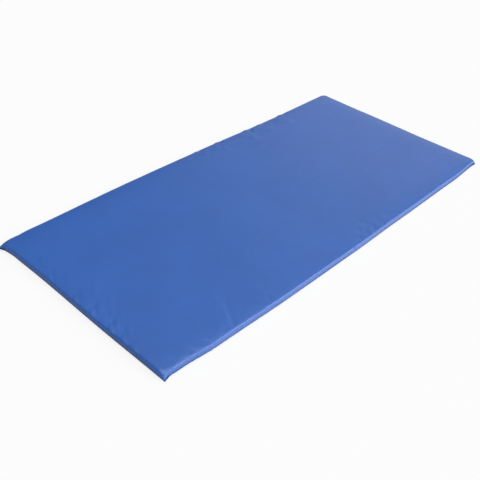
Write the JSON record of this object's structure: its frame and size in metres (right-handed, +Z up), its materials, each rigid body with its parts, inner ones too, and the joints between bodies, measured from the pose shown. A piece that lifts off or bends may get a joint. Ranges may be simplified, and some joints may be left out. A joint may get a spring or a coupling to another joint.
{
  "type": "folding gym mat",
  "caption": "Thin rectangular foam gym mat in a one-piece vinyl top sheet, split underneath so that it folds across the middle like a book.",
  "frame": {"origin": "centre of the underside, on the floor, below the middle of the fold line", "axes": "+Z up out of the top sheet, +Y along the mat from the near panel to the far panel, +X across the mat along the fold"},
  "size_m": [0.6106, 1.2196, 0.02],
  "materials": {
    "top_vinyl": "satin",
    "base_vinyl": "matte",
    "fold_vinyl": "matte",
    "hinge_tape": "matte",
    "foam": "matte",
    "thread": "matte"
  },
  "bodies": {
    "near_panel": {"near_top_sheet": "top_vinyl", "near_base_sheet": "base_vinyl", "near_fold_wall": "fold_vinyl", "near_hinge_tape": "hinge_tape", "near_foam_core": "foam", "near_base_seam": "thread", "near_wall_seam": "thread"},
    "far_panel": {"far_top_sheet": "top_vinyl", "far_base_sheet": "base_vinyl", "far_fold_wall": "fold_vinyl", "far_hinge_tape": "hinge_tape", "far_foam_core": "foam", "far_base_seam": "thread", "far_wall_seam": "thread"}
  },
  "joints": [
    {"name": "centre_fold", "type": "hinge", "parent": "near_panel", "child": "far_panel", "pos_m": [0, 0, 0.021], "axis": [1, 0, 0], "range_deg": [0, 180]}
  ]
}
